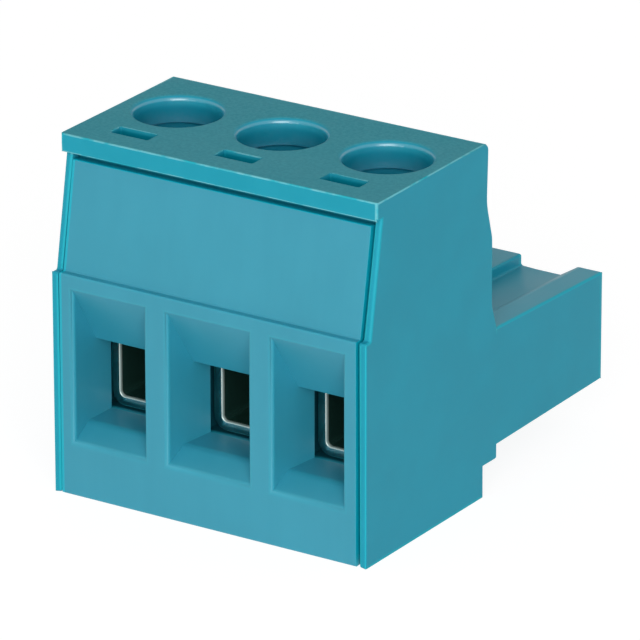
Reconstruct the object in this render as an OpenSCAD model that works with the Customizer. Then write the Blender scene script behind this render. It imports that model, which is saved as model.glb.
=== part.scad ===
// Pluggable terminal block plug with three poles. A moulded housing carries a tail that goes
// into a pin header. A front cover with the wire funnels snaps into the open front, and each
// pole holds a slotted screw, a rising clamp cage and a spring contact.
// Millimetres, Z up, wires enter along +Y. The origin is under the middle of the whole plug.

/* [Poles] */
// Distance between neighbouring poles
pitch = 5.08; // [4.9:0.02:5.6]

/* [Clamp cage] */
// Length of the cage along the wire
cage_len = 4.78; // [4:0.02:5.6]
// Thickness of the strip that the cage is folded from
cage_wall = 0.45; // [0.35:0.05:0.6]
// Inner radius of the folds
cage_fold_r = 0.22; // [0.15:0.01:0.6]
// Gap between the cage and the chamber wall on each side
cage_side_play = 0.2; // [0.1:0.02:0.3]
// Gap under the open cage
cage_floor_play = 0.05; // [0.03:0.01:0.2]
// Gap between the cage and the front cover's seat
cage_front_play = 0.33; // [0.2:0.01:0.6]
// Height of the wire space in the open clamp
wire_h = 2.9; // [2.2:0.05:3.5]
// Wire space that is left when the cage is fully up
shut_gap = 0.15; // [0.1:0.05:0.6]
// Height of the drawn collar above the folded top
collar_h = 1; // [0.6:0.05:1.4]
// Wall of the drawn collar
collar_t = 0.3; // [0.2:0.01:0.4]
// Width of the slit where the inner layer of the folded top ends
fold_slit = 0.12; // [0.08:0.02:0.3]

/* [Screw] */
// Outer radius of the thread
thread_r = 1.25; // [1:0.05:1.35]
// Gap between the thread and the wall of its hole
thread_play = 0.05; // [0.02:0.01:0.08]
// Gap between the thread and the cage's side walls
thread_side_play = 0.15; // [0.1:0.01:0.25]
// Distance that the head reaches under the roof round its well
head_overlap = 0.09; // [0.05:0.01:0.2]
// Gap between the head and the chamber wall on each side
head_side_play = 0.12; // [0.08:0.01:0.3]
// Gap between the head and its round seat in the housing
seat_play = 0.22; // [0.15:0.01:0.3]
// Height of the head
head_h = 1.7; // [1.3:0.05:2.2]
// Bevel on the head's upper edge
head_bevel = 0.18; // [0.1:0.02:0.3]
// Width of the driver slot
slot_w = 0.75; // [0.5:0.05:1]
// Depth of the driver slot
slot_depth = 0.85; // [0.5:0.05:1.1]
// Bevel on the screw's tip
tip_bevel = 0.35; // [0.2:0.05:0.6]
// Gap between the screw's tip and the contact's bar
tip_play = 0.04; // [0.02:0.01:0.1]
// Gap between the raised cage and the underside of the head
head_low_play = 0.5; // [0.3:0.05:1]
// Gap between the head and the roof of the chamber
head_top_play = 0.41; // [0.3:0.01:1]

/* [Contact] */
// Thickness of the strip that the contact is stamped from
strip_t = 0.6; // [0.4:0.05:0.8]
// Gap between the cage and the sides of the bar that the wire is clamped against
bar_side_play = 0.25; // [0.2:0.01:0.4]
// Gap between the bar and the underside of the cage's folded top
bar_play = 0.1; // [0.05:0.01:0.3]
// Inner radius of the bend from the bar into the leg
bend_r = 0.3; // [0.2:0.05:0.5]
// Gap between the leg and the cage
leg_cage_play = 0.1; // [0.08:0.02:0.4]
// Gap between the leg and the wall that it is pushed against
leg_seat_play = 0.02; // [0.01:0.01:0.1]
// Thickness of the spring arms
arm_t = 0.36; // [0.25:0.01:0.45]
// Height of the spring arms
arm_h = 2; // [1.6:0.05:2.3]
// Gap between the spring arms and the tail's end wall
arm_end_play = 1.2; // [0.6:0.05:2]
// Length over which the spring arms lean in
arm_lean = 3.2; // [2.4:0.1:3.6]
// Length of the flared ends of the spring arms
arm_flare = 1.5; // [0.8:0.1:1.8]
// Gap between the two arms where they grip the pin
grip_gap = 0.85; // [0.6:0.05:1]
// Opening of the flared ends
flare_gap = 1.6; // [1.2:0.05:1.7]

/* [Housing] */
// Thickness of the roof over the chambers
roof_t = 1.2; // [0.9:0.05:1.4]
// Thickness of the floor under the chambers
floor_t = 2.9; // [2.6:0.05:3.4]
// Thickness of the wall behind the chambers
back_wall = 0.48; // [0.4:0.02:0.9]
// Height of the lip along the front of the roof
lip_h = 0.8; // [0.6:0.02:0.9]
// Distance of the lip behind the lower front face
lip_setback = 0.8; // [0.5:0.05:1]
// Radius of the lip's ends
lip_corner_r = 0.1; // [0.04:0.01:0.3]
// Distance that the end walls lean back between the ledge and the lip
wall_lean = 0.85; // [0.6:0.05:1.2]
// Width of the ledge across the end walls
ledge_w = 0.33; // [0.25:0.01:0.5]
// Radius of the ledge's edge and of its root
ledge_r = 0.08; // [0.04:0.01:0.12]
// Radius of the lip's long edges
lip_edge_r = 0.06; // [0.03:0.01:0.2]
// Radius of the end walls' front corners
wall_corner_r = 0.06; // [0.04:0.01:0.2]
// Thickness of the end walls beside the front cover
cheek_t = 0.32; // [0.25:0.01:0.4]
// Radius of the driver wells
well_r = 1.84; // [1.7:0.02:1.86]
// Radius of the wells' rounded rims
well_rim_r = 0.25; // [0.1:0.05:0.35]
// Radius of the upper back edge
back_edge_r = 0.35; // [0.2:0.05:0.8]
// Distance that the upper back face leans out towards the top
back_lean = 0.1; // [0:0.02:0.2]
// Height of the upper back face
back_face_h = 2.63; // [2:0.01:3]
// Distance that the shoulder stands out behind the upper back face
shoulder_out = 0.44; // [0.3:0.02:0.7]
// Height of the shoulder's slope
shoulder_rise = 1.6; // [1.2:0.05:2.2]
// Radius of the hollow between the upper back face and the shoulder
waist_r = 2.4; // [1:0.1:3]
// Radius of the shoulder's edge
shoulder_r = 1.4; // [0.5:0.1:2]

/* [Tail] */
// Length of the tail behind the body
tail_len = 8.47; // [7:0.05:10]
// Height of the tail's underside at the body
tail_bottom = 1.94; // [1.6:0.02:2.3]
// Height of the tail at the body
tail_h = 5.22; // [4.8:0.02:6]
// Distance that the top slopes down along the tail
top_draft = 0.28; // [0:0.02:0.4]
// Distance that the underside slopes up along the tail
bottom_draft = 0.12; // [0:0.02:0.3]
// Distance that the tail's sides lie behind the body's sides
tail_step = 0.03; // [0.02:0.01:0.1]
// Radius of the tail's end corners
tail_corner_r = 0.06; // [0.04:0.01:0.3]
// Radius of the tail's upper and lower end edges
tail_edge_r = 0.1; // [0.04:0.01:0.3]
// Distance that the body's lower end stands out behind the shoulder
root_out = 0.36; // [0.2:0.02:0.6]
// Radius of the hollow above the slope down to the tail
root_r = 1.6; // [0.5:0.1:2.4]
// Height of the slope between the shoulder and the tail
root_rise = 1.12; // [0.8:0.04:1.6]
// Height of the step under the tail's root
foot_h = 1.34; // [1:0.02:1.5]
// Distance of the foot's back face in front of the tail's root
foot_back = 0.98; // [0.6:0.02:1.2]
// Depth of the coding grooves along the tail's top
groove_depth = 0.53; // [0.4:0.01:0.62]
// Distance of a groove's upright wall from the middle of its pole
groove_left = 1.48; // [1.2:0.02:1.6]
// Distance of a groove's slope from the middle of its pole
groove_right = 0.5; // [0.4:0.02:0.9]
// Width of a groove's slope
groove_slope = 0.86; // [0.6:0.02:1]
// Radius of the ribs' edges beside a groove's upright wall
rib_edge_r = 0.14; // [0.05:0.01:0.25]
// Radius of the ribs' edges above a groove's slope
slope_edge_r = 0.5; // [0.1:0.05:1]
// Radius of the corner at the foot of a groove's upright wall
groove_foot_r = 0.12; // [0.05:0.01:0.25]
// Height of the pins' middle above the tail's underside
pin_rise = 2.41; // [2.3:0.01:2.5]
// Width of the pin holes in the tail's end
pin_hole = 1.5; // [1.2:0.05:1.8]
// Width of the bevel round the pin holes
pin_bevel = 0.35; // [0.2:0.05:0.45]
// Thickness of the tail's end wall
tail_end_wall = 0.84; // [0.6:0.02:1]
// Gap between the spring arms and the sides of their cavity
cavity_side_play = 0.2; // [0.1:0.02:0.3]
// Gap above and below the spring arms
cavity_arm_play = 0.38; // [0.2:0.02:0.4]

/* [Front cover] */
// Depth of the cover with its funnels
cover_d = 2.75; // [2.5:0.05:3.2]
// Gap between the cover and the left end wall, which it sits against
left_seam = 0.05; // [0.03:0.01:0.1]
// Gap between the cover and the right end wall
right_seam = 0.16; // [0.1:0.01:0.22]
// Radius of the cover's outer edges along the width
cover_edge_r = 0.07; // [0.03:0.01:0.15]
// Gap between the cover and the housing behind it
cover_play = 0.1; // [0.05:0.01:0.15]
// Thickness of the lower front plate
plate_t = 1; // [0.8:0.05:1.3]
// Height of the band between the funnels and the ledge
band_h = 0.6; // [0.4:0.05:0.9]
// Distance of the leaning panel behind the end walls' edges
panel_inset = 0; // [0:0.01:0.2]
// Thickness of the leaning panel at its top
panel_t = 0.85; // [0.6:0.05:1]
// Gap between the panel's top and the underside of the lip
panel_top_gap = 0.36; // [0.2:0.02:0.5]
// Thickness of the flange under the roof
flange_t = 0.55; // [0.4:0.05:0.8]
// Width of the ribs between the funnel mouths
rib_w = 1.18; // [0.9:0.02:1.4]
// Distance that the inner funnel walls close in towards the window
window_taper = 0.28; // [0.1:0.02:0.3]
// Thickness of the funnels' walls beside the end walls
outer_wall = 0.65; // [0.5:0.01:0.75]
// Thickness of the funnels' floor
sleeve_t = 0.8; // [0.7:0.05:1]
// Rounding of the funnels' upright edges
mouth_r = 0.2; // [0.1:0.01:0.25]
// Rounding of the funnels' upper edges
ceiling_r = 0.2; // [0.1:0.01:0.3]
// Rounding of the sills' front edges
sill_r = 0.3; // [0.1:0.01:0.4]
// Rounding of the sills' crests, where the slope runs out to the window
sill_crest_r = 0.8; // [0.2:0.05:1.2]
// Height of the windows' sill above the chamber floor
sill_h = 0.1; // [0.05:0.01:0.2]
// Height of the windows' upper edge above the bar's underside
window_head = 0.12; // [0.05:0.01:0.2]
// Height over which the funnels' ceiling slopes down to the window
ceiling_drop = 2.69; // [2:0.01:3]
// Depth over which the funnels' ceiling slopes down to the window
ceiling_run = 1.67; // [1.3:0.05:2]
// Height of the sloped sill
sill_rise = 0.63; // [0.4:0.05:0.8]
// Depth of the sloped sill
sill_run = 1.03; // [0.7:0.05:1.3]
// Width of the latch slots in the roof
latch_slot_w = 1.9; // [1.5:0.05:2.2]
// Length of the latch slots
latch_slot_len = 0.84; // [0.7:0.02:0.9]
// Distance of the latch slots behind the panel's upper edge
latch_behind = 0.82; // [0.7:0.02:0.86]
// Corner radius of the latch slots
latch_slot_r = 0.1; // [0.05:0.01:0.2]
// Gap between a latch barb and its slot
latch_play = 0.1; // [0.05:0.01:0.2]
// Distance of the barbs' tops under the top face
barb_depth = 0.5; // [0.45:0.01:0.6]
// Thickness of the hook along the cover's lower edge
hook_t = 0.6; // [0.4:0.05:0.8]
// Length of the hook
hook_len = 0.9; // [0.6:0.05:1.2]
// Height of the hook's underside
hook_z = 0.9; // [0.6:0.05:1.1]
// Distance of the hook's ends from the end faces
hook_end = 1.5; // [1.2:0.1:2.5]

/* [Hidden] */
$fn = 48;
over = 0.5;
pole_count = 3;
pole_x = [for (i = [0:pole_count - 1]) (i - (pole_count - 1) / 2) * pitch];
slot_turn = [25, 100, 60];

plastic = [0.26, 0.58, 0.68];
steel = [0.72, 0.73, 0.74];
nickel = [0.66, 0.65, 0.6];
tin = [0.78, 0.78, 0.76];

// Heights, stacked up from the bottom face
total_w = pole_count * pitch;
cage_w = 2 * (thread_r + thread_side_play + cage_wall);
head_r = well_r + head_overlap;
chamber_w = max(cage_w + 2 * cage_side_play, 2 * (head_r + head_side_play));
seat_r = head_r + seat_play;
cage_z = floor_t + cage_floor_play;
cage_floor_z = cage_z + cage_wall;
bar_z = cage_floor_z + wire_h;
bar_top = bar_z + strip_t;
fold_z = bar_top + bar_play;
fold_top = fold_z + 2 * cage_wall;
cage_top = fold_top + collar_h;
cage_travel = wire_h - shut_gap;
head_z = cage_top + cage_travel + head_low_play;
seat_z = head_z - head_low_play / 2;
head_top = head_z + head_h;
roof_z = head_top + head_top_play;
total_h = roof_z + roof_t;
lip_z = total_h - lip_h;
pin_z = tail_bottom + pin_rise;

// Depths, counted from the lower front face
front_end = cover_d + cover_play;
cage_d = front_end + cage_front_play;
screw_d = cage_d + cage_len / 2;
leg_d = cage_d + cage_len + leg_cage_play;
chamber_end = leg_d + strip_t + leg_seat_play;
waist_d = chamber_end + back_wall;
top_end = waist_d + back_lean;
shoulder_d = waist_d + shoulder_out;
root_d = shoulder_d + root_out;
total_d = root_d + tail_len;
foot_d = root_d - foot_back;
tail_top = tail_bottom + tail_h;
tail_top_slope = atan(top_draft / tail_len);
waist_z = total_h - back_face_h;
shoulder_z = waist_z - shoulder_rise;

// Funnels and cover
sill_z = floor_t + sill_h;
window_top = bar_z + window_head;
mouth_z = sill_z - sill_rise;
mouth_top = window_top + ceiling_drop;
ledge_z = mouth_top + band_h;
cover_left = total_w / 2 - cheek_t - left_seam;
cover_right = total_w / 2 - cheek_t - right_seam;
mouth_half = (pitch - rib_w) / 2;
window_half = mouth_half - window_taper;
left_outer = cover_left - pole_x[pole_count - 1] - outer_wall;
right_outer = cover_right - pole_x[pole_count - 1] - outer_wall;
panel_foot = ledge_w + panel_inset;
panel_top = lip_z - panel_top_gap;
panel_head = panel_foot + wall_lean * (panel_top - ledge_z) / (lip_z - ledge_z);
flange_top = lip_z - cover_play;
latch_slot_at = panel_head + latch_behind;
sleeve_z = sill_z - sleeve_t;

// Contact and its cavity in the tail
bar_w = cage_w - 2 * (cage_wall + bar_side_play);
cavity_half = bar_w / 2 + cavity_side_play;
cavity_h = arm_h + 2 * cavity_arm_play;
cavity_end = total_d - tail_end_wall;
arm_end = cavity_end - arm_end_play;
collar_r = thread_r + thread_play + collar_t;

// Moves a piece from depths counted from the front face to the plug's own origin
module placed() {
    translate([0, -total_d / 2, 0]) children();
}

// Extrudes a depth and height outline across the width
module across(width) {
    rotate([90, 0, 90]) linear_extrude(width, center = true) children();
}

// Extrudes a width and height outline from one depth to another
module along(from, to) {
    translate([0, to, 0]) rotate([90, 0, 0]) linear_extrude(to - from) children();
}

// What a rounded corner loses, for a corner at the origin with its body towards +X and +Y
module corner_waste(r) {
    difference() {
        translate([-over, -over]) square(r + over);
        translate([r, r]) circle(r);
    }
}

// Rounds the two upright end edges of a body: facing -Y at front edges, +Y at rear ones
module upright_edge_waste(half_w, depth, r, low, high, rear = false) {
    for (side = [0, 1])
        mirror([side, 0, 0])
            translate([half_w, depth, low])
                linear_extrude(high - low)
                    mirror([1, 0])
                        mirror([0, rear ? 1 : 0])
                            corner_waste(r);
}

// Piece between a corner and the arc that rounds it, reaching one radius past both edges
module corner_piece(before, at, after, r) {
    u = (before - at) / norm(before - at);
    v = (after - at) / norm(after - at);
    half = acos(u * v) / 2;
    middle = at + (u + v) / norm(u + v) * r / sin(half);
    reach = r / tan(half);
    difference() {
        polygon([middle, 2 * (at + u * reach) - middle, 2 * at - middle, 2 * (at + v * reach) - middle]);
        translate(middle) circle(r);
    }
}

// Outline through points [place, height, corner radius] listed clockwise: outer corners are cut
// round and inner ones filled
module soft_outline(corners) {
    count = len(corners);
    spots = [for (c = corners) [c[0], c[1]]];
    difference() {
        union() {
            polygon(spots);
            soft_corners(corners, spots, count, 1);
        }
        soft_corners(corners, spots, count, -1);
    }
}

// Corner pieces of an outline's inner corners (side 1) or of its outer ones (side -1)
module soft_corners(corners, spots, count, side) {
    for (i = [0:count - 1]) {
        before = spots[(i + count - 1) % count];
        after = spots[(i + 1) % count];
        turn = cross(spots[i] - before, after - spots[i]);
        if (corners[i][2] > 0 && turn * side > 0) corner_piece(before, spots[i], after, corners[i][2]);
    }
}

module rounded_rectangle(w, l, r) {
    square([w - 2 * r, l], center = true);
    square([w, l - 2 * r], center = true);
    for (x = [-1, 1], y = [-1, 1])
        translate([x * (w / 2 - r), y * (l / 2 - r)]) circle(r);
}

// Side view of the body from the bottom face up to the roof
module body_outline() {
    soft_outline([
        [0, 0, 0],
        [0, ledge_z, ledge_r],
        [ledge_w, ledge_z, ledge_r],
        [ledge_w + wall_lean, lip_z, 0],
        [lip_setback, lip_z, lip_edge_r],
        [lip_setback, total_h, lip_edge_r],
        [top_end, total_h, back_edge_r],
        [waist_d, waist_z, waist_r],
        [shoulder_d, shoulder_z, shoulder_r],
        [shoulder_d, tail_top + root_rise, root_r],
        [root_d, tail_top, 0],
        [root_d, foot_h, 0],
        [foot_d, foot_h, 0],
        [foot_d, 0, 0]
    ]);
}

// Side view of the tail, with its drafted top and underside
module tail_outline() {
    soft_outline([
        [chamber_end, tail_bottom, 0],
        [chamber_end, tail_top, 0],
        [root_d, tail_top, 0],
        [total_d, tail_top - top_draft, tail_edge_r],
        [total_d, tail_bottom + bottom_draft, tail_edge_r],
        [root_d, tail_bottom, 0]
    ]);
}

// The open front that the cover closes, with the hook's groove in the floor
module cover_seat() {
    across(total_w - 2 * cheek_t)
        polygon([
            [-over, -over],
            [plate_t + cover_play, -over],
            [plate_t + cover_play, sleeve_z - cover_play],
            [front_end, sleeve_z - cover_play],
            [front_end, lip_z],
            [-over, lip_z]
        ]);
    across(total_w - 2 * hook_end + 2 * cover_play)
        translate([plate_t, hook_z - cover_play])
            square([hook_len + cover_play, hook_t + 2 * cover_play]);
}

// Chamber of one clamp: square round the cage, and round behind the screw's head
module chamber() {
    translate([-chamber_w / 2, front_end - over, floor_t]) {
        cube([chamber_w, chamber_end - front_end + over, seat_z - floor_t]);
        cube([chamber_w, screw_d - front_end + over, roof_z - floor_t]);
    }
    translate([0, screw_d, seat_z - over]) cylinder(r = seat_r, h = roof_z - seat_z + over);
}

// Driver well with its rounded rim
module well() {
    translate([0, screw_d, roof_z - over]) cylinder(r = well_r, h = roof_t + 2 * over);
    translate([0, screw_d, total_h])
        rotate_extrude()
            translate([well_r, 0]) mirror([0, 1]) corner_waste_ring();
}

// Section of the rim's waste, from the well's wall outwards
module corner_waste_ring() {
    difference() {
        translate([-well_rim_r, -over]) square([2 * well_rim_r, well_rim_r + over]);
        translate([well_rim_r, well_rim_r]) circle(well_rim_r);
        translate([well_rim_r, -2 * over]) square([over, 4 * over]);
    }
}

module latch_slot() {
    translate([0, latch_slot_at + latch_slot_len / 2, lip_z - over])
        linear_extrude(lip_h + 2 * over)
            rounded_rectangle(latch_slot_w, latch_slot_len, latch_slot_r);
}

// Cavity of one spring contact, with the bevelled pin hole in the tail's end
module pin_cavity() {
    translate([-cavity_half, chamber_end - over, pin_z - cavity_h / 2])
        cube([2 * cavity_half, cavity_end - chamber_end + over, cavity_h]);
    translate([0, 0, pin_z])
        intersection() {
            across(2 * cavity_half) pin_hole_outline();
            rotate([0, 90, 0]) across(2 * cavity_half) pin_hole_outline();
        }
}

module pin_hole_outline() {
    half = pin_hole / 2;
    polygon([
        [cavity_end - over, -half],
        [total_d - pin_bevel, -half],
        [total_d, -half - pin_bevel],
        [total_d + over, -half - pin_bevel],
        [total_d + over, half + pin_bevel],
        [total_d, half + pin_bevel],
        [total_d - pin_bevel, half],
        [cavity_end - over, half]
    ]);
}

// Coding groove along the tail's top, between ribs with rounded edges
module coding_groove() {
    slope_top = groove_right + groove_slope;
    translate([0, root_d, tail_top])
        rotate([-tail_top_slope, 0, 0])
            along(-root_out, tail_len + over) {
                soft_outline([
                    [-groove_left, -groove_depth, groove_foot_r],
                    [-groove_left, over, 0],
                    [slope_top, over, 0],
                    [slope_top, 0, 0],
                    [groove_right, -groove_depth, 0]
                ]);
                corner_piece([-groove_left, -groove_depth], [-groove_left, 0],
                             [-groove_left - over, 0], rib_edge_r);
                corner_piece([groove_right, -groove_depth], [slope_top, 0],
                             [slope_top + over, 0], slope_edge_r);
            }
}

module housing() {
    color(plastic) placed() difference() {
        union() {
            difference() {
                across(total_w) body_outline();
                upright_edge_waste(total_w / 2, 0, wall_corner_r, -over, ledge_z);
                upright_edge_waste(total_w / 2, lip_setback, lip_corner_r, lip_z, total_h + over);
            }
            difference() {
                across(total_w - 2 * tail_step) tail_outline();
                upright_edge_waste(total_w / 2 - tail_step, total_d, tail_corner_r,
                                   0, tail_top + over, rear = true);
            }
        }
        cover_seat();
        for (x = pole_x)
            translate([x, 0, 0]) {
                chamber();
                well();
                latch_slot();
                pin_cavity();
                coding_groove();
            }
    }
}

// Side view of the cover: lower plate, funnel block, leaning panel and flange
module cover_outline() {
    back_d = panel_head + panel_t;
    soft_outline([
        [0, 0, cover_edge_r],
        [0, ledge_z, cover_edge_r],
        [panel_foot, ledge_z, cover_edge_r],
        [panel_head, panel_top, cover_edge_r],
        [panel_head + panel_t / 2, panel_top, 0],
        [panel_head + panel_t / 2, flange_top, 0],
        [cover_d, flange_top, 0],
        [cover_d, flange_top - flange_t, 0],
        [back_d, flange_top - flange_t, 0],
        [ceiling_run + mouth_r, ledge_z, 0],
        [cover_d, mouth_top - ceiling_drop / 2, 0],
        [cover_d, sleeve_z, 0],
        [plate_t, sleeve_z, 0],
        [plate_t, 0, 0]
    ]);
}

// Side view of a funnel: sloped ceiling and sill with rounded front edges, then the window
module funnel_outline() {
    polygon([
        [-over, mouth_z],
        [0, mouth_z],
        [sill_run, sill_z],
        [cover_d + over, sill_z],
        [cover_d + over, window_top],
        [ceiling_run, window_top],
        [0, mouth_top],
        [-over, mouth_top]
    ]);
    corner_piece([0, mouth_top + over], [0, mouth_top], [ceiling_run, window_top], ceiling_r);
    corner_piece([0, mouth_z - over], [0, mouth_z], [sill_run, sill_z], sill_r);
    corner_piece([0, mouth_z], [sill_run, sill_z], [cover_d + over, sill_z], sill_crest_r);
}

// Plan of one side of a funnel, from the pole's middle to a wall with a rounded front edge
module funnel_side(mouth, window) {
    difference() {
        polygon([
            [0, -over],
            [mouth + mouth_r, -over],
            [mouth + mouth_r, mouth_r],
            [mouth, mouth_r],
            [window, cover_d],
            [window, cover_d + over],
            [0, cover_d + over]
        ]);
        translate([mouth + mouth_r, mouth_r]) circle(mouth_r);
    }
}

// Funnel of one pole; an outer pole's far wall runs straight in
module funnel(i) {
    left = i == 0 ? [left_outer, left_outer] : [mouth_half, window_half];
    right = i == pole_count - 1 ? [right_outer, right_outer] : [mouth_half, window_half];
    intersection() {
        across(pitch) funnel_outline();
        linear_extrude(total_h) {
            funnel_side(right[0], right[1]);
            mirror([1, 0]) funnel_side(left[0], left[1]);
        }
    }
}

// Wedge on the flange that springs up into a latch slot
module latch_barb() {
    front = latch_slot_at + latch_play;
    rear = latch_slot_at + latch_slot_len - latch_play;
    across(latch_slot_w - 2 * latch_play)
        polygon([
            [front, flange_top - flange_t / 2],
            [front, total_h - barb_depth],
            [front + latch_play, total_h - barb_depth],
            [rear, flange_top],
            [rear, flange_top - flange_t / 2]
        ]);
}

module front_cover() {
    color(plastic) placed() {
        difference() {
            translate([(cover_right - cover_left) / 2, 0, 0])
                across(cover_left + cover_right) cover_outline();
            for (i = [0:pole_count - 1])
                translate([pole_x[i], 0, 0]) funnel(i);
        }
        for (x = pole_x)
            translate([x, 0, 0]) latch_barb();
        across(total_w - 2 * hook_end)
            translate([plate_t - over, hook_z]) square([hook_len + over, hook_t]);
    }
}

// Front view of the folded strip: a closed frame with a double top
module cage_outline() {
    outer_r = cage_fold_r + cage_wall;
    frame_h = fold_top - cage_z;
    inner_w = cage_w - 2 * cage_wall;
    translate([0, cage_z + frame_h / 2])
        difference() {
            rounded_rectangle(cage_w, frame_h, outer_r);
            translate([0, -cage_wall / 2])
                rounded_rectangle(inner_w, frame_h - 3 * cage_wall, cage_fold_r);
            translate([inner_w / 2 - cage_fold_r - fold_slit, frame_h / 2 - 2 * cage_wall - over])
                square([fold_slit, cage_wall + over]);
        }
}

module cage(pole) {
    color(nickel) placed() translate([pole_x[pole - 1], 0, 0])
        difference() {
            union() {
                along(cage_d, cage_d + cage_len) cage_outline();
                translate([0, screw_d, fold_top - cage_wall])
                    cylinder(r = collar_r, h = collar_h + cage_wall);
            }
            translate([0, screw_d, fold_z - over])
                cylinder(r = thread_r + thread_play, h = cage_top - fold_z + 2 * over);
        }
}

module screw(pole) {
    tip_z = bar_top + tip_play;
    color(steel) placed() translate([pole_x[pole - 1], screw_d, 0])
        difference() {
            rotate_extrude()
                polygon([
                    [0, tip_z],
                    [thread_r - tip_bevel, tip_z],
                    [thread_r, tip_z + tip_bevel],
                    [thread_r, head_z],
                    [head_r, head_z],
                    [head_r, head_top - head_bevel],
                    [head_r - head_bevel, head_top],
                    [0, head_top]
                ]);
            translate([0, 0, head_top - slot_depth / 2 + over / 2])
                rotate(slot_turn[pole - 1])
                    cube([2 * head_r + over, slot_w, slot_depth + over], center = true);
        }
}

// Unit normal to the left of the way from a to b
function left_normal(a, b) = [a[1] - b[1], b[0] - a[0]] / norm(b - a);

// Point beside vertex i of a strip's middle line, mitred with both neighbours
function beside(path, i, off) =
    let (last = len(path) - 1,
         before = left_normal(path[max(i - 1, 0)], path[max(i, 1)]),
         after = left_normal(path[min(i, last - 1)], path[min(i + 1, last)]))
    path[i] + off * (before + after) / (1 + before * after);

// Outline of a strip of even thickness along its middle line
function strip_outline(path, t) = concat(
    [for (i = [0:len(path) - 1]) beside(path, i, t / 2)],
    [for (i = [len(path) - 1:-1:0]) beside(path, i, -t / 2)]);

// Side view of the bar and leg: a strip with one bend
module bar_and_leg() {
    bar_mid = bar_z + strip_t / 2;
    leg_mid = leg_d + strip_t / 2;
    turn_r = bend_r + strip_t / 2;
    bend = [for (a = [90:-15:0]) [leg_mid - turn_r + turn_r * cos(a), bar_mid - turn_r + turn_r * sin(a)]];
    polygon(strip_outline(
        concat([[cage_d + strip_t / 2, bar_mid]], bend, [[leg_mid, pin_z - arm_h / 2]]), strip_t));
}

// Plan of the right-hand spring arm
module spring_arm() {
    start = leg_d + strip_t / 2;
    outer = (bar_w - arm_t) / 2;
    grip = (grip_gap + arm_t) / 2;
    flare = (flare_gap + arm_t) / 2;
    grip_d = arm_end - arm_flare;
    polygon(strip_outline([
        [outer, start],
        [outer, grip_d - arm_lean],
        [grip, grip_d],
        [flare, arm_end]
    ], arm_t));
}

module contact(pole) {
    color(tin) placed() translate([pole_x[pole - 1], 0, 0]) {
        across(bar_w) bar_and_leg();
        translate([0, 0, pin_z - arm_h / 2])
            linear_extrude(arm_h) {
                spring_arm();
                mirror([1, 0]) spring_arm();
            }
    }
}

housing();
front_cover();
contact(1);  // contact_1
contact(2);  // contact_2
contact(3);  // contact_3
cage(1);  // cage_1
cage(2);  // cage_2
cage(3);  // cage_3
screw(1);  // screw_1
screw(2);  // screw_2
screw(3);  // screw_3
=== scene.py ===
"""Looks of a pluggable terminal block plug: two teal mouldings round bright metal clamps.

Metres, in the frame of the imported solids: wires enter along +Y, the screws stand along Z.
"""
import math

import bmesh
import bpy
from mathutils import Matrix, Vector


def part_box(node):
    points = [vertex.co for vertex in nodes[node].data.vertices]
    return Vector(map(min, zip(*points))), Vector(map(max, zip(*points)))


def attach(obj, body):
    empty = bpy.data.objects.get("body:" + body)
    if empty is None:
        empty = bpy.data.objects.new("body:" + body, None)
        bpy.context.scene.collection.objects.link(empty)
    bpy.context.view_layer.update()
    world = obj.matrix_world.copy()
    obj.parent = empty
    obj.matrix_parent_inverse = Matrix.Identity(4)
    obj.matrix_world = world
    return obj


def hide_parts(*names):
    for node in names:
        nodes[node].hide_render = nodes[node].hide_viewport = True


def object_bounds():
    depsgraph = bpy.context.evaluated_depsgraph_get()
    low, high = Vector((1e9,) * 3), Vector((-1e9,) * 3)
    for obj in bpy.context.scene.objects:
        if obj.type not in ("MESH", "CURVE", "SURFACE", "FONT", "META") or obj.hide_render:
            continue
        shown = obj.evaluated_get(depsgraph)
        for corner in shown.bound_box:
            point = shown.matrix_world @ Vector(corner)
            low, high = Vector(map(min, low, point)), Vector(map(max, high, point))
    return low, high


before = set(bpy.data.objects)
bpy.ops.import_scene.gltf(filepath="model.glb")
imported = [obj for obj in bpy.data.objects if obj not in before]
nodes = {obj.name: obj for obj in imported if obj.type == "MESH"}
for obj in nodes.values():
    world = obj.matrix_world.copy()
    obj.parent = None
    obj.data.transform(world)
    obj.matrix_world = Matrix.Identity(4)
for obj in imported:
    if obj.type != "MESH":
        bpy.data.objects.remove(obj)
cad_low, cad_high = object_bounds()

# Housing: one injection moulding of teal polyamide, with a satin skin from the polished mould.
# Only its top face comes from a spark-eroded mould plate, and is matt and finely grained.
# Everything else goes in through its open front, which the cover then closes.
MM = 0.001
SAME_POINT = 1e-4 * MM
SAME_PLANE = math.radians(0.5)
FLAT = math.radians(1)
STILL_SHARP = math.radians(50)
RIM_BREADTH = 0.11 * MM
WIDE_RIM = 0.6
EDGE_STEPS = 3
END_STEPS = 4
END_REACH = 0.1 * MM
END_STOP = 0.05 * MM


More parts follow.
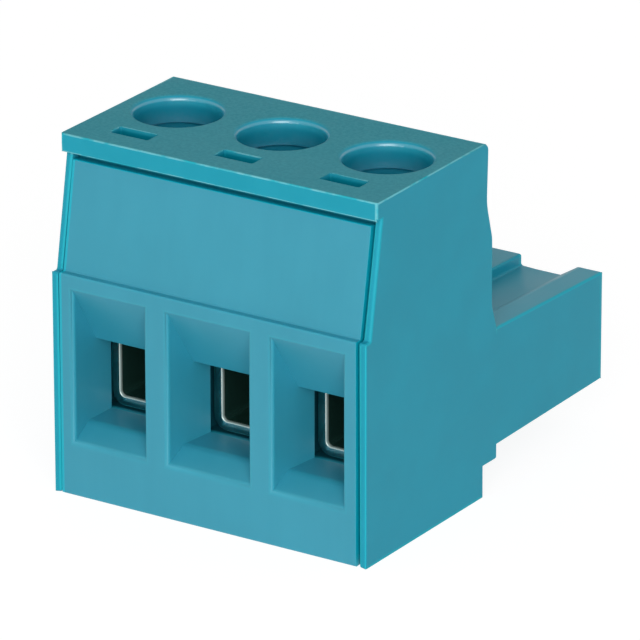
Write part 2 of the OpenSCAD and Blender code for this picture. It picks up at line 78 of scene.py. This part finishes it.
class Wire:
    """One output of a shader node; arithmetic on it adds Math nodes to the same material."""

    def __init__(self, tree, socket):
        self.tree = tree
        self.socket = socket

    def node(self, kind, settings, sockets, output=0):
        """Adds a node: its settings first, then a value or a link for each named socket."""
        made = self.tree.nodes.new(kind)
        for name, value in settings.items():
            setattr(made, name, value)
        for name, value in sockets.items():
            if isinstance(value, Wire):
                self.tree.links.new(value.socket, made.inputs[name])
            else:
                made.inputs[name].default_value = value
        return Wire(self.tree, made.outputs[output])

    def maths(self, operation, *terms):
        return self.node("ShaderNodeMath", {"operation": operation}, dict(enumerate(terms)))

    def __add__(self, other):
        return self.maths("ADD", self, other)

    __radd__ = __add__

    def __sub__(self, other):
        return self.maths("SUBTRACT", self, other)

    def __rsub__(self, other):
        return self.maths("SUBTRACT", other, self)

    def __mul__(self, other):
        return self.maths("MULTIPLY", self, other)

    __rmul__ = __mul__

    def __gt__(self, other):
        return self.maths("GREATER_THAN", self, other)

    def __lt__(self, other):
        return self.maths("LESS_THAN", self, other)

    def __abs__(self):
        return self.maths("ABSOLUTE", self)

    def axis(self, number):
        """One of the three numbers of a place or a direction."""
        return self.node("ShaderNodeSeparateXYZ", {}, {"Vector": self}, number)

    def stretched(self, x, y, z):
        """The same coordinates with each axis multiplied, for streaks."""
        return self.node("ShaderNodeMapping", {}, {"Vector": self, "Scale": (x, y, z)})

    def noise(self, scale, detail=3.0, roughness=0.5):
        sockets = {"Vector": self, "Scale": scale, "Detail": detail, "Roughness": roughness}
        return self.node("ShaderNodeTexNoise", {}, sockets)

    def between(self, low, high):
        """0 where the value is low, 1 where it is high, with a smooth run between them."""
        settings = {"interpolation_type": "SMOOTHSTEP"}
        sockets = {"Value": self, "From Min": low, "From Max": high}
        return self.node("ShaderNodeMapRange", settings, sockets)

    def mixed(self, colour, other):
        """A colour that goes over to another one as this value goes from 0 to 1."""
        sockets = {"Factor": self, 6: colour, 7: other}
        return self.node("ShaderNodeMix", {"data_type": "RGBA"}, sockets, 2)

    def bump(self, height, strength):
        sockets = {"Height": self, "Strength": strength, "Distance": height}
        return self.node("ShaderNodeBump", {}, sockets)


def new_finish(name, constants):
    """A Principled material with constant sockets set; gives it, its shader and Object coordinates."""
    material = bpy.data.materials.new(name)
    material.use_nodes = True
    tree = material.node_tree
    shader = tree.nodes["Principled BSDF"]
    for socket, value in constants.items():
        shader.inputs[socket].default_value = value
    coordinates = tree.nodes.new("ShaderNodeTexCoord").outputs["Object"]
    return material, shader, Wire(tree, coordinates)


def feed(shader, **wires):
    """Links what changes over the surface to the shader's sockets of those names."""
    for name, wire in wires.items():
        wire.tree.links.new(wire.socket, shader.inputs[name.replace("_", " ")])


def breadth(face):
    """How broad a face is across its longest edge."""
    return face.calc_area() / max(edge.calc_length() for edge in face.edges)


def room(face, edge):
    """How far a face goes on beside one of its edges, up to the nearest edge that lies opposite."""
    start, end = [vert.co for vert in edge.verts]
    length = (end - start).length
    line = (end - start) / length
    widths = [max((vert.co - start).cross(line).length for vert in face.verts)]
    borders = [other for other in face.edges
               if other.calc_face_angle(0.0) > FLAT and not set(other.verts) & set(edge.verts)]
    for other in borders:
        one, two = [vert.co - start for vert in other.verts]
        first, last = one.dot(line), two.dot(line)
        overlap = [max(min(first, last), 0.0), min(max(first, last), length)]
        if overlap[0] < overlap[1]:
            shares = [(stop - first) / (last - first) for stop in overlap]
            widths += [one.lerp(two, share).cross(line).length for share in shares]
    return min(widths)


def round_edges(work, radius, sharp, shortest, steps, chosen):
    """Rounds the sharp outer edges that are chosen and whose faces leave room for the rounding."""
    edges = [edge for edge in work.edges
             if edge.calc_face_angle(0.0) > sharp and edge.is_convex and edge.calc_length() > shortest
             and chosen(edge) and min(room(face, edge) for face in edge.link_faces) > 2 * radius]
    return bmesh.ops.bevel(work, geom=edges, offset=radius, segments=steps, profile=0.5,
                           affect="EDGES", material=-1, clamp_overlap=False)["faces"]


def on_end_face(edge):
    """True for an edge of the part's two ends, apart from the edges of its top and bottom."""
    heights = [vert.co.z for vert in edge.verts]
    return (min(abs(vert.co.x) for vert in edge.verts) > cad_high.x - END_REACH
            and min(heights) < cad_high.z - END_STOP and max(heights) > END_STOP)


def anywhere(edge):
    """True for every edge."""
    return True


def rounded_copy(node, name, radius, sharp, shortest=0.0, rim_length=0.0, end_radius=0.0,
                 chosen=anywhere):
    """A closed copy of a solid's mesh with its sharp outer edges rounded, apart from very small ones.

    The attribute rim is 1 on the narrow faces of rounded edges, from a least length on, less on the wide
    ones of the part's ends, and 0 elsewhere. Nothing goes beyond the solid's own box.
    """
    work = bmesh.new()
    work.from_mesh(nodes[node].data)
    rim = work.faces.layers.float.new("rim")
    bmesh.ops.remove_doubles(work, verts=work.verts, dist=SAME_POINT)
    bmesh.ops.dissolve_limit(work, angle_limit=SAME_PLANE, verts=work.verts, edges=work.edges)
    if end_radius:
        for face in round_edges(work, end_radius, STILL_SHARP, 0.0, END_STEPS, on_end_face):
            face[rim] = WIDE_RIM
    round_edges(work, radius, sharp, shortest, EDGE_STEPS, chosen)
    low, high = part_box(node)
    for vert in work.verts:
        vert.co = [min(max(value, least), most) for value, least, most in zip(vert.co, low, high)]
    for face in work.faces:
        face.smooth = True
        long_edges = sorted(face.edges, key=lambda edge: edge.calc_length())[-2:]
        narrow = breadth(face) < RIM_BREADTH and long_edges[1].calc_length() > rim_length
        if narrow and face[rim] < WIDE_RIM and all(edge.is_convex for edge in long_edges):
            face[rim] = 1.0
    for edge in work.edges:
        edge.smooth = edge.calc_face_angle(0.0) < STILL_SHARP
    mesh = bpy.data.meshes.new(name)
    work.to_mesh(mesh)
    work.free()
    piece = bpy.data.objects.new(name, mesh)
    bpy.context.scene.collection.objects.link(piece)
    flat = piece.modifiers.new("flat_faces", "WEIGHTED_NORMAL")
    flat.keep_sharp = True
    return piece


def depths(start, end):
    """The heights that lie two depths under the top face."""
    return cad_high.z - start, cad_high.z - end


EDGE_SHARP = math.radians(28)
EDGE_R = 0.09 * MM
END_R = 0.1 * MM
SHORTEST = 0.12 * MM
RIM_LENGTH = 0.6 * MM
PITCH = 5.08 * MM
WELL_Y = -3.645 * MM
WELL_R = 1.84 * MM
WELL_RIM = 0.25 * MM
WELL_WALL = ((WELL_R + 0.08 * MM) ** 2, (WELL_R + 0.035 * MM) ** 2)
WELL_SHINE = depths(0.5 * MM, 0.25 * MM)
WELL_SHADE = depths(0.2 * MM, 0.6 * MM)
ROOF = 1.3 * MM
SEAT = 11.0 * MM
SLOT_Y = -6.86 * MM
SLOT_HALF = 1.05 * MM
SLOT_REACH = 0.5 * MM
SLOT_SHADE = depths(0.08 * MM, 0.25 * MM)
TOP_SKIN = depths(0.06 * MM, 0.02 * MM)
LIP_H = 1.0 * MM
CHAMBER_FRONT = -6.3 * MM
CHAMBER_DIM = 0.3 * MM
CHAMBER_BACK = -1.0 * MM
CHAMBER_FLOOR = 0.6 * MM
CHAMBER_TOP = 8.5 * MM
SIDE_WALL = 0.4 * MM
TAIL_TOP = 8.0 * MM
END_GLOW = 0.3 * MM
TEAL = (0.018, 0.32, 0.44, 1.0)
TEAL_DEEP = (0.014, 0.3, 0.415, 1.0)
# Painted light: a paler, brighter teal for rounded edges, front-facing faces and the tail's end faces.
PAINTED_LIGHT_TEAL = (0.02, 0.45, 0.54, 1.0)
# Pale scuffs on the lip's rounded edges, laid over the painted edge light.
SCUFFED_PAINTED_LIGHT = (0.19, 0.58, 0.64, 1.0)
# Painted sheen: a greyer teal for the tail's upward faces.
TAIL_TOP_PAINTED_SHEEN = (0.045, 0.33, 0.435, 1.0)
TOP_PALE = (0.055, 0.335, 0.405, 1.0)
TOP_DARK = (0.038, 0.285, 0.35, 1.0)
# Painted shade: darker teal deep in the wells and slots, and on the chamber walls.
WELL_PAINTED_SHADE = (0.006, 0.23, 0.325, 1.0)
SLOT_PAINTED_SHADE = (0.0, 0.24, 0.33, 1.0)
CHAMBER_PAINTED_SHADE = (0.004, 0.07, 0.095, 1.0)
FACING_UP = (0.7, 0.95)
FACING_FRONT = (0.6, 0.9)
FACING_SIDE = (0.5, 0.8)
CLOUDS = 350.0
SCUFFS = 1400.0
SPARK_GRAIN = 7000.0
FINE_GRAIN = 9000.0
CLOUD_SPREAD = (0.3, 0.7)
SCUFF_SPREAD = (0.34, 0.58)
GRAIN_SHARE = 0.06
GRAIN_H = 0.012 * MM
GRAIN_STRENGTH = 0.5
SATIN = 0.36
CLOUDY = 0.06
TOP_MATT = 0.26
RIM_MATT = 0.2
WELL_SMOOTH = 0.2
WELL_COAT = 0.4
RIM_SHARE = 0.8
TAIL_RIM_LOSS = 0.8
FRONT_LIGHT_SHARE = 0.2
TAIL_END_LIGHT_SHARE = 0.8
HOUSING_SKIN = {
    "IOR": 1.5,
    "Specular IOR Level": 0.12,
    "Coat Roughness": 0.3,
    "Coat IOR": 1.75,
    "Subsurface Weight": 0.25,
    "Subsurface Radius": (0.25, 0.8, 1.0),
    "Subsurface Scale": 0.35 * MM,
}

housing_teal, shader, place = new_finish("teal_polyamide_housing", HOUSING_SKIN)
across, along, up = [place.axis(number) for number in range(3)]
top_face = up.between(*TOP_SKIN)
to_well_x = across.maths("WRAP", across, PITCH / 2, -PITCH / 2)
to_well_y = along - WELL_Y
off_axis = to_well_x * to_well_x + to_well_y * to_well_y
in_roof = (up > cad_high.z - ROOF) * (off_axis < (WELL_R + WELL_RIM) ** 2)
in_well = (up > SEAT) * (off_axis < (WELL_R + 2 * WELL_RIM) ** 2)
in_slot = (abs(to_well_x) < SLOT_HALF) * (up > SEAT) * (abs(along - SLOT_Y) < SLOT_REACH)
well_wall = in_roof * off_axis.between(*WELL_WALL)
well_gloss = well_wall * (WELL_COAT + up.between(*WELL_SHINE) * (1.0 - WELL_COAT))
# Painted shade: the chamber walls seen through the cover's windows are darkened.
chamber_shade = (along.between(CHAMBER_FRONT, CHAMBER_FRONT + CHAMBER_DIM) * (along < CHAMBER_BACK)
           * (up > CHAMBER_FLOOR) * (up < CHAMBER_TOP) * (abs(across) < cad_high.x - SIDE_WALL))
cloud = place.noise(CLOUDS).between(*CLOUD_SPREAD)
grain = place.noise(FINE_GRAIN, 2.0)
coarse = place.noise(SPARK_GRAIN, 4.0, 0.65)
# Painted light: the narrow faces of rounded edges, read from the rim attribute, get a paler teal; less
# of it on the tail below its top.
rim = place.node("ShaderNodeAttribute", {"attribute_name": "rim"}, {}, "Fac")
narrow = rim > (1.0 + WIDE_RIM) / 2
rim = rim * (1.0 - narrow * (along > 0.0) * (up < TAIL_TOP) * TAIL_RIM_LOSS)
# Pale scuffs along the lip's rounded edges; they sit within the painted edge light.
pale = place.noise(SCUFFS).between(*SCUFF_SPREAD) * narrow * (up > cad_high.z - LIP_H)
facing = place.node("ShaderNodeNewGeometry", {}, {}, "Normal")
sideways, forward, upward = [facing.axis(number) for number in range(3)]
# Painted light: faces turned to the front, and the side faces near the tail's back end, are made paler.
painted_front_light = (0.0 - forward).between(*FACING_FRONT)
painted_tail_end_light = abs(sideways).between(*FACING_SIDE) * along.between(cad_high.y - END_GLOW, cad_high.y)
skin = cloud.mixed(TEAL_DEEP, TEAL)
# Painted sheen: the tail's upward faces are greyer.
skin = (upward.between(*FACING_UP) * (along > 0.0)).mixed(skin, TAIL_TOP_PAINTED_SHEEN)
skin = (painted_front_light * FRONT_LIGHT_SHARE + painted_tail_end_light * TAIL_END_LIGHT_SHARE).mixed(skin, PAINTED_LIGHT_TEAL)
# Painted shade: darker towards the bottom of the wells and slots, and dark on the chamber walls.
skin = (in_well * up.between(*WELL_SHADE)).mixed(skin, WELL_PAINTED_SHADE)
skin = (in_slot * up.between(*SLOT_SHADE)).mixed(skin, SLOT_PAINTED_SHADE)
skin = chamber_shade.mixed(skin, CHAMBER_PAINTED_SHADE)
skin = top_face.mixed(skin, coarse.between(*CLOUD_SPREAD).mixed(TOP_DARK, TOP_PALE))
feed(shader,
     Base_Color=(rim * RIM_SHARE).mixed(skin, pale.mixed(PAINTED_LIGHT_TEAL, SCUFFED_PAINTED_LIGHT)),
     Roughness=SATIN + cloud * CLOUDY + top_face * TOP_MATT - well_wall * WELL_SMOOTH + rim * RIM_MATT,
     Coat_Weight=well_gloss,
     Normal=(grain * GRAIN_SHARE + coarse * top_face).bump(GRAIN_H, GRAIN_STRENGTH))

housing = rounded_copy("housing", "housing_moulding", EDGE_R, EDGE_SHARP, SHORTEST, RIM_LENGTH, END_R)
housing.data.materials.append(housing_teal)
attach(housing, "plug")
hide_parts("housing")

# Contacts: stamped and bent from tin-plated copper strip, pushed into the housing from the front.
# The bar lies in the clamp and two spring arms reach into the tail for the header's pin.
TIN_DULL = (0.3, 0.31, 0.29, 1.0)
TIN_BRIGHT = (0.4, 0.4, 0.38, 1.0)
TIN_PATCHES = 900.0
PATCH_SPREAD = (0.35, 0.7)
TIN_ROUGH = 0.3
TIN_UNEVEN = 0.12
ROLLING_MARKS = 22000.0
ROLLED_ALONG = 0.06
ROLLED_H = 0.004 * MM
ROLLED_STRENGTH = 0.3

tin, shader, place = new_finish("tin_plate", {"Metallic": 1.0})
patches = place.noise(TIN_PATCHES).between(*PATCH_SPREAD)
rolled = place.stretched(1.0, ROLLED_ALONG, 1.0).noise(ROLLING_MARKS)
feed(shader,
     Base_Color=patches.mixed(TIN_DULL, TIN_BRIGHT),
     Roughness=TIN_ROUGH + patches * TIN_UNEVEN,
     Normal=rolled.bump(ROLLED_H, ROLLED_STRENGTH))
for number in (1, 2, 3):
    contact = nodes[f"contact_{number}"]
    contact.data.materials.clear()
    contact.data.materials.append(tin)

# Clamp cages: folded from nickel-plated brass strip; a collar drawn up from the double top is tapped.
# They slide up and down in their chambers. The blanking tool left smooth rounded edges.
CAGE_LOW, CAGE_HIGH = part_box("cage_1")
CAGE_HALF = 1.6 * MM
CAGE_FLOOR = 3.15 * MM
CAGE_ROOF = 7.0 * MM
CAGE_EDGE_R = 0.065 * MM
CAGE_SHARP = math.radians(50)
CUT_DEPTH = (0.08 * MM, 0.2 * MM)
ON_PLANE = 0.01 * MM
NICKEL_DULL = (0.68, 0.74, 0.7, 1.0)
NICKEL_BRIGHT = (0.78, 0.82, 0.78, 1.0)
# Painted shade: a dark greenish tone for the cage metal behind its front edges.
CAGE_PAINTED_SHADE = (0.045, 0.15, 0.12, 1.0)
# Painted highlight: a pale, less metallic tone on the cages' rounded front edges.
CAGE_PAINTED_HIGHLIGHT = (0.56, 0.68, 0.63, 1.0)
NICKEL_HAZE = 1200.0
NICKEL_ROUGH = 0.12
NICKEL_UNEVEN = 0.08
CAGE_RIM_ROUGH = 0.25
CAGE_HIGHLIGHT_NONMETAL = 0.7
INSIDE_DULL = 0.25
ROUNDED_OFF = (0.99, 0.9)
DRAWING_MARKS = 18000.0
DRAWN_ALONG = 0.05
DRAWN_H = 0.003 * MM
DRAWN_STRENGTH = 0.25

nickel, shader, place = new_finish("nickel_plate", {})
across, along, up = [place.axis(number) for number in range(3)]
haze = place.noise(NICKEL_HAZE).between(*PATCH_SPREAD)
drawn = place.stretched(1.0, DRAWN_ALONG, 1.0).noise(DRAWING_MARKS)
to_pole = across.maths("WRAP", across, PITCH / 2, -PITCH / 2)
in_frame = (abs(to_pole) < CAGE_HALF) * (up > CAGE_FLOOR) * (up < CAGE_ROOF)
# Painted shade: the cage is dark and less metallic past its front edge.
shaded_inside = (along - CAGE_LOW.y).between(*CUT_DEPTH) * in_frame
forward = 0.0 - place.node("ShaderNodeNewGeometry", {}, {}, "Normal").axis(1)
# Painted highlight: the rounded front edges are pale and less metallic, so they show as a bright line.
rim = forward.between(*ROUNDED_OFF) * (1.0 - shaded_inside) * in_frame
plate = shaded_inside.mixed(haze.mixed(NICKEL_DULL, NICKEL_BRIGHT), CAGE_PAINTED_SHADE)
feed(shader,
     Base_Color=rim.mixed(plate, CAGE_PAINTED_HIGHLIGHT),
     Metallic=1.0 - shaded_inside * INSIDE_DULL - rim * CAGE_HIGHLIGHT_NONMETAL,
     Roughness=NICKEL_ROUGH + haze * NICKEL_UNEVEN + rim * CAGE_RIM_ROUGH,
     Normal=drawn.bump(DRAWN_H, DRAWN_STRENGTH))


def on_cut_side(edge):
    """True for an edge of the strip's two cut sides or of the collar's mouth."""
    planes = ((1, CAGE_LOW.y), (1, CAGE_HIGH.y), (2, CAGE_HIGH.z))
    return any(all(abs(vert.co[axis] - value) < ON_PLANE for vert in edge.verts)
               for axis, value in planes)


for number in (1, 2, 3):
    cage = rounded_copy(f"cage_{number}", f"clamp_cage_{number}", CAGE_EDGE_R, CAGE_SHARP,
                        chosen=on_cut_side)
    cage.data.materials.append(nickel)
    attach(cage, f"cage_{number}")
    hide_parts(f"cage_{number}")

# Screws: turned and slotted steel with a bright zinc plate, captive under the roof of their chamber.
# They turn in place, and their M2.5 thread draws the cage up against the contact's bar.
THREAD_PITCH = 0.45 * MM
THREAD_R = 1.25 * MM
ROOT_R = 0.974 * MM
CREST = 0.07 * MM
ROOT_FLAT = 0.1 * MM
TIP_BEVEL = 0.35 * MM
NECK = 0.25 * MM
HEAD_H = 1.7 * MM
IN_NECK = 0.05 * MM
SPARE_TURNS = 2
TURN_STEPS = 36
SEAM = 1e-3 * MM
SCREW_EDGE_R = 0.03 * MM
SCREW_SHARP = math.radians(60)
ZINC_DULL = (0.6, 0.63, 0.73, 1.0)
ZINC_BRIGHT = (0.74, 0.76, 0.84, 1.0)
ZINC_CLOUDS = 1500.0
ZINC_SPREAD = (0.3, 0.75)
ZINC_ROUGH = 0.4
ZINC_UNEVEN = 0.14
ZINC_CRYSTALS = 25000.0
CRYSTAL_H = 0.003 * MM
CRYSTAL_STRENGTH = 0.3


def cut_off(work, height, way):
    """Takes away what lies above a height if way is 1, or below it if way is -1."""
    bmesh.ops.bisect_plane(work, geom=work.verts[:] + work.edges[:] + work.faces[:], dist=SAME_POINT,
                           plane_co=(0.0, 0.0, height), plane_no=(0.0, 0.0, way), clear_outer=True)


def cut_thread(piece, axis):
    """Puts a right-hand thread in place of the smooth shank between a screw's neck and its tip."""
    work = bmesh.new()
    work.from_mesh(piece.data)
    heights = [vert.co.z for vert in work.verts]
    tip = min(heights)
    neck = max(heights) - HEAD_H - NECK
    cut_off(work, neck, -1.0)
    bmesh.ops.holes_fill(work, edges=[edge for edge in work.edges if edge.is_boundary])

    rod = bmesh.new()
    flank = (THREAD_PITCH - CREST - ROOT_FLAT) / 2
    outline = [(ROOT_R, 0.0), (ROOT_R, ROOT_FLAT), (THREAD_R, ROOT_FLAT + flank),
               (THREAD_R, ROOT_FLAT + flank + CREST), (ROOT_R, THREAD_PITCH)]
    start = tip - SPARE_TURNS * THREAD_PITCH
    verts = [rod.verts.new((axis.x + radius, axis.y, start + rise)) for radius, rise in outline]
    edges = [rod.edges.new(pair) for pair in zip(verts, verts[1:])]
    turns = math.ceil((neck - tip) / THREAD_PITCH) + SPARE_TURNS + 1
    bmesh.ops.spin(rod, geom=verts + edges, cent=axis, axis=(0.0, 0.0, 1.0), angle=math.tau * turns,
                   dvec=(0.0, 0.0, THREAD_PITCH / TURN_STEPS), steps=TURN_STEPS * turns)
    bmesh.ops.remove_doubles(rod, verts=rod.verts, dist=SEAM)
    for height, way in ((tip, -1.0), (neck + IN_NECK, 1.0)):
        cut_off(rod, height, way)
        ring = [edge for edge in rod.edges if edge.is_boundary
                and max(abs(vert.co.z - height) for vert in edge.verts) < SEAM]
        bmesh.ops.holes_fill(rod, edges=ring)
    for vert in rod.verts:
        arm = vert.co - axis
        arm.z = 0.0
        reach = THREAD_R - TIP_BEVEL + vert.co.z - tip
        if arm.length > reach:
            vert.co -= arm * (1.0 - reach / arm.length)
    bmesh.ops.recalc_face_normals(rod, faces=rod.faces)
    for face in rod.faces:
        face.smooth = True
    for edge in rod.edges:
        edge.smooth = edge.calc_face_angle(0.0) < STILL_SHARP
    part = bpy.data.meshes.new("thread")
    rod.to_mesh(part)
    rod.free()
    work.from_mesh(part)
    bpy.data.meshes.remove(part)
    work.to_mesh(piece.data)
    work.free()


zinc, shader, place = new_finish("zinc_plate", {"Metallic": 1.0})
turned = place.noise(ZINC_CLOUDS).between(*ZINC_SPREAD)
feed(shader,
     Base_Color=turned.mixed(ZINC_DULL, ZINC_BRIGHT),
     Roughness=ZINC_ROUGH + turned * ZINC_UNEVEN,
     Normal=place.noise(ZINC_CRYSTALS).bump(CRYSTAL_H, CRYSTAL_STRENGTH))
for number in (1, 2, 3):
    screw = rounded_copy(f"screw_{number}", f"clamp_screw_{number}", SCREW_EDGE_R, SCREW_SHARP)
    cut_thread(screw, Vector(((number - 2) * PITCH, WELL_Y, 0.0)))
    screw.data.materials.append(zinc)
    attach(screw, f"screw_{number}")
    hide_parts(f"screw_{number}")

# Front cover: the second moulding, from the same polyamide. It closes the front of the housing,
# with its barbs in the roof's slots and its hook in the floor, and guides the wires into the cages.
COVER_HALF = 7.14 * MM
PANEL_TOP = 14.3 * MM
PANEL_FRONT = -8.1 * MM
COVER_EDGE_R = 0.05 * MM
END_SKIN = 0.004 * MM
LIP_SKIN = 0.03 * MM
GAP_DIM = 0.35 * MM
COVER_PALE = (0.036, 0.32, 0.435, 1.0)
COVER_DEEP = (0.03, 0.3, 0.41, 1.0)
# Painted light and shade: a bright teal in the seams, and a dark teal deep in the groove under the lip.
SEAM_PAINTED_LIGHT = (0.0, 0.42, 0.54, 1.0)
GROOVE_PAINTED_SHADE = (0.0, 0.22, 0.3, 1.0)
COVER_CLOUDS = 300.0
FLOW_LINES = 1100.0
FLOW_ALONG = 0.08
FLOW_SPREAD = (0.35, 0.65)
FLOW_SHARE = 0.4
COVER_RIM_SHARE = 0.12
COVER_SKIN = {
    "IOR": 1.5,
    "Specular IOR Level": 0.5,
    "Subsurface Weight": 0.25,
    "Subsurface Radius": (0.25, 0.8, 1.0),
    "Subsurface Scale": 0.35 * MM,
}

cover_teal, shader, place = new_finish("teal_polyamide_cover", COVER_SKIN)
across, along, up = [place.axis(number) for number in range(3)]
cloud = place.noise(COVER_CLOUDS).between(*CLOUD_SPREAD)
flow = place.stretched(1.0, 1.0, FLOW_ALONG).noise(FLOW_LINES).between(*FLOW_SPREAD)
grain = place.noise(FINE_GRAIN, 2.0)
rim = place.node("ShaderNodeAttribute", {"attribute_name": "rim"}, {}, "Fac")
end_gap = abs(across) > COVER_HALF - END_SKIN
lip_gap = up > PANEL_TOP - LIP_SKIN
gap_depth = along.between(PANEL_FRONT, PANEL_FRONT + GAP_DIM)
skin = (cloud * (1.0 - FLOW_SHARE) + flow * FLOW_SHARE).mixed(COVER_DEEP, COVER_PALE)
# Painted light: a little paler teal on the narrow faces of rounded edges.
skin = (rim * COVER_RIM_SHARE).mixed(skin, PAINTED_LIGHT_TEAL)
# Painted light: the cover's end faces in the seams are a brighter teal.
skin = end_gap.mixed(skin, SEAM_PAINTED_LIGHT)
# Painted light and shade in the groove under the lip: brighter at its front, darker deeper in.
feed(shader,
     Base_Color=lip_gap.mixed(skin, gap_depth.mixed(SEAM_PAINTED_LIGHT, GROOVE_PAINTED_SHADE)),
     Roughness=SATIN + cloud * CLOUDY,
     Normal=(grain * GRAIN_SHARE).bump(GRAIN_H, GRAIN_STRENGTH))

cover = rounded_copy("front_cover", "front_cover_moulding", COVER_EDGE_R, EDGE_SHARP, SHORTEST,
                     RIM_LENGTH)
cover.data.materials.append(cover_teal)
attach(cover, "plug")
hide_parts("front_cover")

# Floor: a plain white sheet that shows white to the camera and keeps a faint shadow.
# The world is white to the camera and to reflections, and a soft grey as light.
FLOOR_REACH = 1.5
FLOOR_GLOW = 0.885
AMBIENT = 0.38
PAPER = (0.8, 0.8, 0.8, 1.0)
PAPER_SHADE = (0.22, 0.22, 0.22, 1.0)
BLACK = (0.0, 0.0, 0.0, 1.0)
WHITE = (1.0, 1.0, 1.0, 1.0)


def background_rays(wire):
    """1 for the rays by which the camera, gloss and clear things see the surroundings."""
    path = wire.node("ShaderNodeLightPath", {}, {}).socket.node.outputs
    camera, gloss, clear = [Wire(wire.tree, path[f"Is {kind} Ray"])
                            for kind in ("Camera", "Glossy", "Transmission")]
    return camera.maths("MAXIMUM", camera.maths("MAXIMUM", camera, gloss), clear)


work = bmesh.new()
bmesh.ops.create_grid(work, x_segments=1, y_segments=1, size=FLOOR_REACH)
floor_mesh = bpy.data.meshes.new("floor")
work.to_mesh(floor_mesh)
work.free()
floor = bpy.data.objects.new("floor", floor_mesh)
bpy.context.scene.collection.objects.link(floor)
paper, shader, place = new_finish("white_paper", {"Roughness": 0.9, "Specular IOR Level": 0.0,
                                                  "Emission Strength": FLOOR_GLOW})
seen = background_rays(place)
feed(shader,
     Base_Color=seen.mixed(PAPER, PAPER_SHADE),
     Emission_Color=seen.mixed(BLACK, WHITE))
floor.data.materials.append(paper)

world = bpy.data.worlds.new("studio")
bpy.context.scene.world = world
world.use_nodes = True
background = world.node_tree.nodes["Background"]
background.inputs["Color"].default_value = WHITE
level = AMBIENT + background_rays(Wire(world.node_tree, None)) * (1.0 - AMBIENT)
world.node_tree.links.new(level.socket, background.inputs["Strength"])

# Studio light: one wide soft box, a lamp behind a square white cloth.
# It stands beside the camera and a little lower, so the front is the brightest side.
KEY_AZIMUTH = 33.0
KEY_ELEVATION = 17.0
KEY_DISTANCE = 0.5
KEY_WIDTH = 0.35
KEY_POWER = 2.1


def way_to(azimuth, elevation):
    """The direction from the plug to a place round it, in degrees from straight in front and level."""
    turn, rise = math.radians(azimuth), math.radians(elevation)
    return Vector((math.sin(turn) * math.cos(rise), -math.cos(turn) * math.cos(rise), math.sin(rise)))


light = bpy.data.lights.new("key_box", "AREA")
light.size = KEY_WIDTH
light.energy = KEY_POWER
lamp = bpy.data.objects.new("key_box", light)
way = way_to(KEY_AZIMUTH, KEY_ELEVATION)
lamp.location = (cad_low + cad_high) / 2 + way * KEY_DISTANCE
lamp.rotation_mode = "QUATERNION"
lamp.rotation_quaternion = (-way).to_track_quat("-Z", "Y")
bpy.context.scene.collection.objects.link(lamp)

# Camera: at the photograph's angle, found from the plug's own corners, with a long lens.
# It stands about 0.3 m from the plug, to the right of its front and above it.
AZIMUTH = 33.0
ELEVATION = 21.376
ROLL = math.radians(-0.108)
AIM = Vector((1.8155, -3.635, 7.717)) * MM
DISTANCE = 293.258 * MM
LENS = 403.85
SENSOR = 36.0
CLIP = 100
back = way_to(AZIMUTH, ELEVATION)
right = Vector((math.cos(math.radians(AZIMUTH)), math.sin(math.radians(AZIMUTH)), 0.0))
axes = Matrix((right, back.cross(right), back)).transposed().to_4x4()
camera = bpy.data.objects.new("camera", bpy.data.cameras.new("camera"))
camera.data.lens = LENS
camera.data.sensor_width = SENSOR
camera.data.clip_start = DISTANCE / CLIP
camera.data.clip_end = DISTANCE * CLIP
camera.matrix_world = Matrix.Translation(AIM + back * DISTANCE) @ axes @ Matrix.Rotation(ROLL, 4, "Z")
bpy.context.scene.collection.objects.link(camera)
bpy.context.scene.camera = camera
bpy.context.scene.view_settings.view_transform = "Standard"
